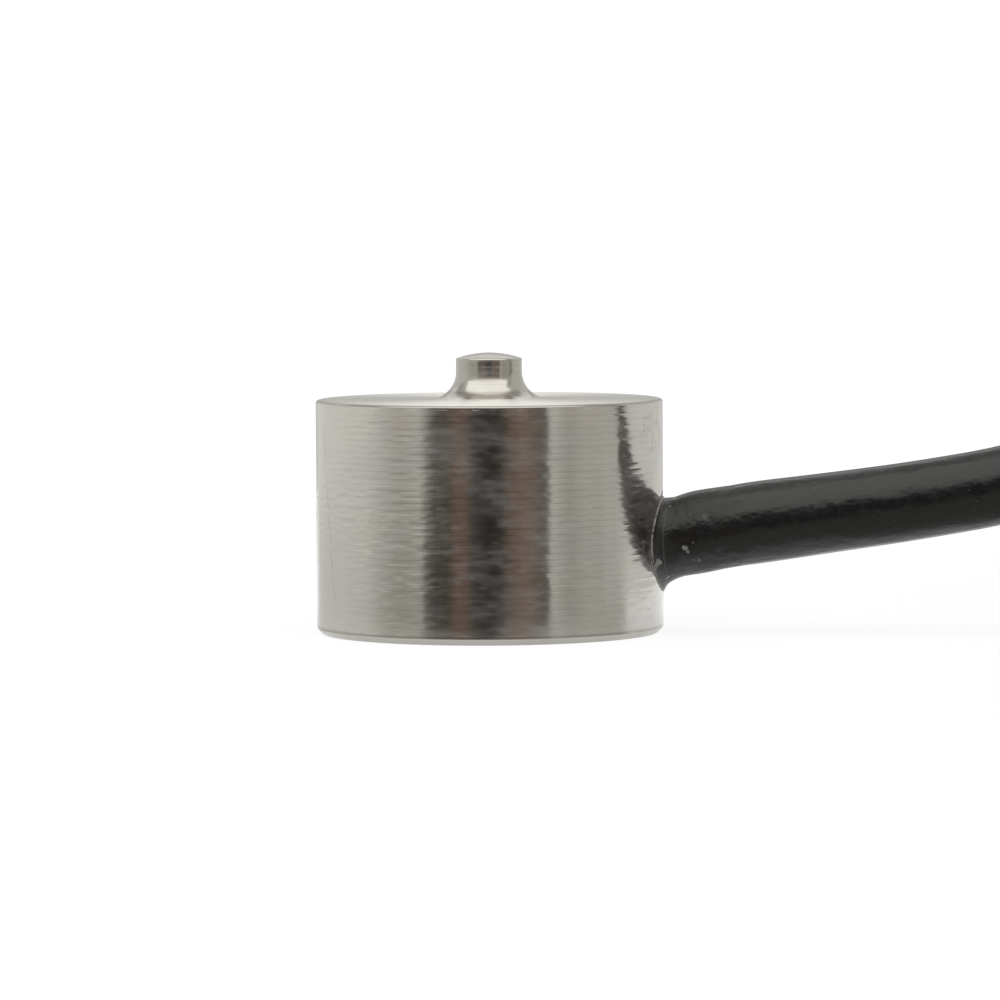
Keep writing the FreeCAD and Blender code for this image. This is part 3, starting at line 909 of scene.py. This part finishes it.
def tie_path():
    """Middle line of the band round the bundle, at the coil's +X side, in millimetres."""
    inset = TIE_CORNER - TIE_T / 2
    corners = (
        (TIE_HALF - inset, TIE_HIGH - inset, 0),
        (-TIE_HALF + inset, TIE_HIGH - inset, 90),
        (-TIE_HALF + inset, TIE_LOW + inset, 180),
        (TIE_HALF - inset, TIE_LOW + inset, 270),
    )
    points = []
    for x, z, start in corners:
        middle = Vector((COIL_X + COIL_R + x, COIL_Y, z))
        for degrees in even(start, start + 90, 6):
            turn = math.radians(degrees)
            points.append(middle + Vector((math.cos(turn), 0, math.sin(turn))) * TIE_CORNER)
    return points


def banded_form(material):
    """Tree that sweeps a flat band along a loop and sets ribs along it."""
    form = Form("banded_form", Width="Float", Thickness="Float", Pitch="Float")
    width, thickness, pitch = form.inputs.values()
    loop = form.node("GeometryNodeMeshToCurve", None, {0: form.source})
    flat = {"Width": width, "Height": thickness}
    section = form.node("GeometryNodeCurvePrimitiveQuadrilateral", None, flat)
    band = form.node("GeometryNodeCurveToMesh", None, {"Curve": loop, "Profile Curve": section})
    spaced = form.node("GeometryNodeResampleCurve", {"mode": "LENGTH"}, {"Curve": loop, "Length": pitch})
    settings = {"mode": "EVALUATED"}
    points, _, _, rotation = form.node("GeometryNodeCurveToPoints", settings, {"Curve": spaced}, None)
    size = form.joined(width * 0.55, thickness * 1.25, pitch * 0.45)
    rib = form.node("GeometryNodeMeshCube", None, {"Size": size})
    sockets = {"Points": points, "Instance": rib, "Rotation": rotation}
    ribs = form.node("GeometryNodeInstanceOnPoints", None, sockets)
    form.close(form.node("GeometryNodeJoinGeometry", None, {0: [band, ribs]}), material)
    return form


def tie_head(material):
    """Ratchet head of the band: a rounded block, the cut end of the band through it, and a tongue."""
    mesh = bmesh.new()
    for size, centre, bevel in TIE_HEAD_BLOCKS:
        made = bmesh.ops.create_cube(mesh, size=1.0)
        bmesh.ops.scale(mesh, vec=Vector(size) * MM, verts=made["verts"])
        offset = Vector((COIL_X + COIL_R + centre[0], COIL_Y + centre[1], centre[2])) * MM
        bmesh.ops.translate(mesh, vec=offset, verts=made["verts"])
        edges = list({edge for vertex in made["verts"] for edge in vertex.link_edges})
        bmesh.ops.bevel(mesh, geom=edges, offset=bevel * MM, segments=3, profile=0.5, affect="EDGES")
    data = bpy.data.meshes.new("tie_head")
    mesh.to_mesh(data)
    mesh.free()
    data.materials.append(material)
    return link("tie_head", data)


# Stage

# Camera, fitted to the outline of the body: its bearing round the cell in degrees, its own turns in
# radians, its place before the bearing turns it, and its lens
CAMERA_AZIMUTH = 4.5
CAMERA_YAW = 0.0018
CAMERA_PITCH = -0.0585
CAMERA_ROLL = -0.0054
CAMERA_PLACE = (0, -198.64, 16.21)
CAMERA_LENS = 206.8
SENSOR_WIDTH = 36

# Soft lamp, how bright the world is as light and as seen, and half the width of the floor
LAMP_PLACE = (-60, -80, 360)
LAMP_AIM = (0, 0, 4)
LAMP_SIZE = 600
LAMP_POWER = 1.36
WORLD_LIGHT = 0.4
WORLD_SEEN = 1.02
FLOOR_HALF = 900


def photo_camera():
    """Camera where the photo was taken."""
    level = math.cos(CAMERA_PITCH)
    ahead = Vector((math.sin(CAMERA_YAW) * level, math.cos(CAMERA_YAW) * level, math.sin(CAMERA_PITCH)))
    right = Vector((math.cos(CAMERA_YAW), -math.sin(CAMERA_YAW), 0))
    up = right.cross(ahead)
    tilted_right = right * math.cos(CAMERA_ROLL) + up * math.sin(CAMERA_ROLL)
    tilted_up = up * math.cos(CAMERA_ROLL) - right * math.sin(CAMERA_ROLL)
    turn = Matrix((tilted_right, tilted_up, -ahead)).transposed().to_4x4()
    place = Matrix.Translation(Vector(CAMERA_PLACE) * MM)
    camera = link("photo_camera", bpy.data.cameras.new("photo_camera"))
    camera.matrix_world = Matrix.Rotation(math.radians(CAMERA_AZIMUTH), 4, "Z") @ place @ turn
    camera.data.sensor_width = SENSOR_WIDTH
    camera.data.lens = CAMERA_LENS
    camera.data.clip_start = 0.005
    camera.data.clip_end = 20
    bpy.context.scene.camera = camera


def seen_directly(graph):
    """1 for the rays that show the background: from the camera, in gloss and through glass."""
    rays = graph.node("ShaderNodeLightPath", output=None)
    names = {ray.socket.name: ray for ray in rays}
    both = names["Is Camera Ray"].math("MAXIMUM", names["Is Glossy Ray"])
    return both.math("MAXIMUM", names["Is Transmission Ray"])


def white_world():
    world = bpy.data.worlds.new("white_world")
    world.use_nodes = True
    bpy.context.scene.world = world
    graph = Graph(world.node_tree)
    graph.tree.nodes.clear()
    level = WORLD_LIGHT + (WORLD_SEEN - WORLD_LIGHT) * seen_directly(graph)
    light = graph.node("ShaderNodeBackground", None, {"Color": (1, 1, 1, 1), "Strength": level})
    graph.node("ShaderNodeOutputWorld", None, {"Surface": light}, output=None)


def sheet(name, corners, material):
    """Flat sheet of four corners in millimetres."""
    return mesh_object(name, corners, [(0, 1, 2, 3)], material)


def white_floor():
    """White paper that shows little more than the object's shadow."""
    finish = Finish("white_paper")
    fibres = finish.grain(0.02, 3.0)
    tone = finish.mix(fibres, (0.80, 0.80, 0.80, 1), (0.83, 0.83, 0.83, 1))
    paper = finish.node("ShaderNodeBsdfDiffuse", None, {"Color": tone})
    glow = finish.node("ShaderNodeEmission", None, {"Color": (1, 1, 1, 1), "Strength": 1.05})
    measure = {"operation": "LENGTH"}
    distance = finish.node("ShaderNodeVectorMath", measure, {0: finish.place()}, output="Value")
    share = seen_directly(finish) * (0.86 + 0.14 * finish.fade(distance, 0.02, 0.09))
    mixed = finish.node("ShaderNodeMixShader", None, {0: share, 1: paper, 2: glow})
    half = FLOOR_HALF
    corners = [(-half, -half, 0), (half, -half, 0), (half, half, 0), (-half, half, 0)]
    sheet("floor", corners, finish.close(mixed))


# Card round the front of the cell: how far out it lies on the floor, how high it stands, its columns, and
# its gap over the floor
CARD_REACH = 76.0
CARD_HEIGHT = 47.0
CARD_COLUMNS = 136
CARD_GAP = 0.01
# Bearing from the camera in degrees, tone of the standing part, and share of it on the floor
SURROUND = (
    (-168, (0.79, 0.78, 0.755), 0.88),
    (-116, (0.84, 0.83, 0.80), 0.86),
    (-90, (0.81, 0.80, 0.765), 0.8),
    (-76, (0.69, 0.675, 0.635), 0.68),
    (-62, (0.565, 0.545, 0.50), 0.64),
    (-51, (0.61, 0.595, 0.55), 0.64),
    (-46.5, (0.65, 0.635, 0.595), 0.6),
    (-42, (0.35, 0.34, 0.315), 0.3),
    (-36.5, (0.145, 0.137, 0.125), 0.4),
    (-28, (0.115, 0.098, 0.087), 0.6),
    (-22, (0.19, 0.132, 0.108), 0.87),
    (-16, (0.18, 0.128, 0.105), 0.87),
    (-11.5, (0.085, 0.076, 0.072), 0.9),
    (-3, (0.038, 0.036, 0.034), 0.92),
    (6, (0.038, 0.036, 0.034), 0.93),
    (13, (0.155, 0.117, 0.098), 0.9),
    (22, (0.24, 0.172, 0.14), 0.87),
    (31, (0.18, 0.148, 0.124), 0.88),
    (35, (0.135, 0.125, 0.115), 0.92),
    (38, (0.13, 0.125, 0.12), 0.92),
    (41, (0.68, 0.665, 0.63), 0.85),
    (46, (0.555, 0.54, 0.505), 0.85),
    (54, (0.46, 0.445, 0.41), 0.85),
    (66, (0.545, 0.53, 0.49), 0.87),
    (92, (0.555, 0.54, 0.50), 0.87),
    (106, (0.57, 0.555, 0.515), 0.87),
)
CARD_BEARINGS = (SURROUND[0][0], SURROUND[-1][0])


def surround_finish():
    """Grey surround with a dark front and two brown strips, darker where it lies on the floor."""
    finish = Finish("grey_surround")
    bearing = finish.carried("bearing")
    first, last = CARD_BEARINGS
    place = (bearing - first) / (last - first)
    stops = [(turn - first) / (last - first) for turn, _, _ in SURROUND]
    tones = [(*tone, 1) for _, tone, _ in SURROUND]
    shares = [(share, share, share, 1) for _, _, share in SURROUND]
    tone = finish.node("ShaderNodeValToRGB", {"stops": list(zip(stops, tones))}, {0: place})
    share = finish.node("ShaderNodeValToRGB", {"stops": list(zip(stops, shares))}, {0: place})
    lying = finish.vector("MULTIPLY", tone, share)
    seen = finish.mix(finish.carried("standing"), lying, tone)
    solid = finish.band(bearing, first, first + 12.0, last - 9.0, last)
    return finish.veil(solid, seen)


def only_in_reflections(card):
    """Hide a card from all rays but glossy ones."""
    card.visible_camera = False
    card.visible_diffuse = False
    card.visible_shadow = False
    card.visible_transmission = False


def grey_surround():
    """Card that only reflections see: it lies on the floor and then stands up."""
    rows = [(reach, CARD_GAP, 0.0) for reach in (0.4, 3, 10, 30, CARD_REACH)]
    rows += [(CARD_REACH, CARD_GAP, 1.0), (CARD_REACH, CARD_HEIGHT, 1.0)]
    points = []
    bearings = []
    uprights = []
    for reach, height, upright in rows:
        for bearing in even(*CARD_BEARINGS, CARD_COLUMNS):
            foot = polar(BODY_R, bearing / 2 - 90 + CAMERA_AZIMUTH)
            ahead = polar(reach, bearing - 90 + CAMERA_AZIMUTH)
            points.append((foot.x + ahead.x, foot.y + ahead.y, height))
            bearings.append(bearing)
            uprights.append(upright)
    faces = []
    wide = CARD_COLUMNS + 1
    # The last row that lies and the first that stands share a place, so no faces join them
    for row in (0, 1, 2, 3, 5):
        for column in range(CARD_COLUMNS):
            low = row * wide + column
            faces.append((low, low + 1, low + wide + 1, low + wide))
    card = mesh_object("grey_surround", points, faces, surround_finish())
    carry(card.data, "bearing", bearings)
    carry(card.data, "standing", uprights)
    only_in_reflections(card)


# Other cards: the pale one beside the cell, the one overhead and the one behind
PALE_CARD_X = 19.6
PALE_CARD_ENDS = (-5.5, 70)
PALE_CARD_TOP = 32
PALE_CARD_NEAR = 13.6
CEILING_Z = 60
CEILING_HALF = 105
BACK_CARD_Y = 80
BACK_CARD_HALF = 90
BACK_CARD_TOP = 44
STAND_GAP = 0.02


def standing(start, end, top):
    """Corners of a card that stands between two places."""
    return [(*start, STAND_GAP), (*end, STAND_GAP), (*end, top), (*start, top)]


def flat_card(finish, tone, corners, near=0.1):
    """Sheet that only reflections see, and only from farther than near, in millimetres."""
    distance = finish.node("ShaderNodeLightPath", output="Ray Length")
    far = finish.fade(distance, near * 0.65 * MM, near * MM)
    only_in_reflections(sheet(finish.material.name, corners, finish.veil(far, tone)))


def pale_card():
    """Pale card between the cell and the coil, so that only the rising cable is mirrored in the wall. Its
    dark line is a painted reflection of that cable, which carries the cable's own reflection on upward.
    """
    finish = Finish("pale_card")
    _, y, z = finish.parts(finish.place())
    tone = finish.mix(finish.fade(y, -3 * MM, 3 * MM), (0.55, 0.54, 0.51, 1), (0.75, 0.74, 0.71, 1))
    # Painted reflection: a dark line that stands for the rising cable as the wall mirrors it.
    aside = abs(y + 0.23 * MM - (7.1 * MM - z) * 1.37)
    painted_cable_reflection = (1 - finish.fade(aside, 0.6 * MM, 1.5 * MM)) * (z > 3 * MM)
    lined = finish.mix(painted_cable_reflection, tone, (0.08, 0.075, 0.07, 1))
    start, end = [(PALE_CARD_X, reach) for reach in PALE_CARD_ENDS]
    flat_card(finish, lined, standing(start, end, PALE_CARD_TOP), PALE_CARD_NEAR)


def ceiling_card():
    """Grey card overhead, bright in a wedge in front of the cell and far behind it."""
    finish = Finish("ceiling_card")
    x, y, _ = finish.parts(finish.place())
    aside = abs(x) / (34 * MM - y)
    wedge = (1 - finish.fade(aside, 1.35, 1.9)) * (1 - finish.fade(y, 2 * MM, 18 * MM))
    middle = finish.mix(finish.fade(y, 0.0, 25 * MM), (0.74, 0.73, 0.70, 1), (0.54, 0.53, 0.51, 1))
    whole = finish.mix(finish.fade(y, 42 * MM, 56 * MM), middle, (1.1, 1.09, 1.07, 1))
    tone = finish.mix(wedge, whole, (1.82, 1.80, 1.73, 1))
    half = CEILING_HALF
    corners = [(-half, -half), (-half, half), (half, half), (half, -half)]
    flat_card(finish, tone, [(*corner, CEILING_Z) for corner in corners])


def back_card():
    """Grey card behind the cell, which its top face mirrors."""
    finish = Finish("back_card")
    clouds = finish.grain(0.02, 2.0)
    tone = finish.mix(clouds, (0.54, 0.53, 0.51, 1), (0.64, 0.63, 0.61, 1))
    start, end = (-BACK_CARD_HALF, BACK_CARD_Y), (BACK_CARD_HALF, BACK_CARD_Y)
    flat_card(finish, tone, standing(start, end, BACK_CARD_TOP))


def back_strip():
    """Dark strip on the floor behind the cell, which the back of its wall mirrors."""
    finish = Finish("back_strip")
    x, y, _ = finish.parts(finish.place())
    aside = abs(x) / (y * 0.37 + 1.1 * MM)
    tone = finish.mix(finish.fade(aside, 0.5, 0.9), (0.12, 0.105, 0.095, 1), (0.66, 0.65, 0.62, 1))
    flat_card(finish, tone, [(-3.2, 5.7, 0.012), (3.2, 5.7, 0.012), (28, 72, 0.012), (-28, 72, 0.012)])


def soft_lamp():
    """Square soft lamp aimed at the cell. Reflections don't see it."""
    lamp = bpy.data.lights.new("key_lamp", "AREA")
    lamp.size = LAMP_SIZE * MM
    lamp.energy = LAMP_POWER
    holder = link("key_lamp", lamp)
    holder.location = Vector(LAMP_PLACE) * MM
    toward = Vector(LAMP_AIM) - Vector(LAMP_PLACE)
    holder.rotation_euler = toward.to_track_quat("-Z", "Y").to_euler()
    holder.visible_glossy = False


# Putting it together

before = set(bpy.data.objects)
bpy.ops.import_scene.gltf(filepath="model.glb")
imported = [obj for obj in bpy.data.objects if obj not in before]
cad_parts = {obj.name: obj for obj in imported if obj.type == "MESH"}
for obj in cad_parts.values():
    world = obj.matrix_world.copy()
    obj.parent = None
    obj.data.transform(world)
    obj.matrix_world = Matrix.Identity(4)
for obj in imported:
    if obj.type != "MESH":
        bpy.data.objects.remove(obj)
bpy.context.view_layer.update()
bpy.context.scene.view_settings.view_transform = "Standard"

photo_camera()
white_world()
white_floor()
grey_surround()
pale_card()
ceiling_card()
back_card()
back_strip()
soft_lamp()

steel = turned_steel()
black = cable_jacket()
sealant = black_sealant()
nylon = moulded("black_nylon", (0.018, 0.018, 0.019, 1), (0.028, 0.028, 0.029, 1), 0.34)
tinned = bright_metal("tinned_wire", (0.70, 0.69, 0.66, 1), (0.58, 0.57, 0.54, 1), 0.22)
core_finishes = {
    "red": moulded("red_core", (0.52, 0.02, 0.02, 1), (0.44, 0.014, 0.014, 1), 0.36),
    "black": moulded("black_core", (0.016, 0.016, 0.017, 1), (0.024, 0.024, 0.025, 1), 0.36),
    "green": moulded("green_core", (0.02, 0.25, 0.07, 1), (0.014, 0.19, 0.05, 1), 0.36),
    "white": moulded("white_core", (0.78, 0.78, 0.75, 1), (0.70, 0.70, 0.66, 1), 0.36),
}


def settle(piece, slot, *nodes):
    """Hang a finished piece on the one rigid body, in the place of its solids."""
    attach(piece, "root")
    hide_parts(*nodes)
    return piece


settle(spring_body(steel), "steel", "spring_body")
bead = settle(sealant_bead(sealant), "sealant", "cable_seal")
wire = settle(cable(black), "jacket", "cable_jacket", "cable_coil", "cable_tail")

band = banded_form(nylon).grow(
    "coil_band",
    line_mesh("band_path", [point * MM for point in tie_path()], closed=True),
    Width=TIE_W * MM,
    Thickness=TIE_T * MM,
    Pitch=TIE_RIB_PITCH * MM,
)
settle(band, "tie", "coil_tie")
settle(tie_head(nylon), "tie", "coil_tie")

strands = stranded_form(tinned)
for colour, (side, level, fan, rest) in LEADS.items():
    points = fanned_points(side * CORE_OFFSET, level * CORE_OFFSET, fan, rest, CORE_R)
    core = as_mesh(flex(f"core_{colour}", points, CORE_R, core_finishes[colour]))
    settle(core, f"core_{colour}", f"lead_{colour}")
    end = Vector(points[-1][:3])
    onward = (end - Vector(points[-2][:3])).normalized()
    tip_ends = [(end - onward * TIP_INSIDE) * MM, (end + onward * TIP_LENGTH) * MM]
    tip = twisted(strands, f"tip_{colour}", line_mesh("tip_line", tip_ends), TIP_TWIST)
    settle(tip, "tinned", "lead_tips")
pigtail_points = fanned_points(PIGTAIL_OFFSET, 0, *PIGTAIL_FAN, PIGTAIL_R)
pigtail_line = as_mesh(flex("pigtail_line", pigtail_points, 0.0))
pigtail_path = pigtail_line.data
bpy.data.objects.remove(pigtail_line)
pigtail = twisted(strands, "shield_strands", pigtail_path, PIGTAIL_TWIST)
settle(pigtail, "tinned", "shield_pigtail")

solder = bright_metal("solder", (0.70, 0.71, 0.72, 1), (0.55, 0.56, 0.57, 1), 0.2)
inner_finishes = {
    "base_cover": pressed_steel(),
    "terminal_board": circuit_board(),
    "gauge_jumpers": bright_metal("jumper_wire", (0.70, 0.40, 0.20, 1), (0.56, 0.28, 0.12, 1), 0.25),
    "gauge_solder": solder,
    "board_solder": solder,
}
inner_finishes |= dict.fromkeys(("zero_resistor", "span_resistor"), chip_body())
inner_finishes |= dict.fromkeys([f"strain_gauge_{number}" for number in range(1, 5)], gauge_foil())
inner_finishes |= {f"inner_lead_{colour}": finish for colour, finish in core_finishes.items()}
for name, finish in inner_finishes.items():
    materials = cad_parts[name].data.materials
    materials.clear()
    materials.append(finish)
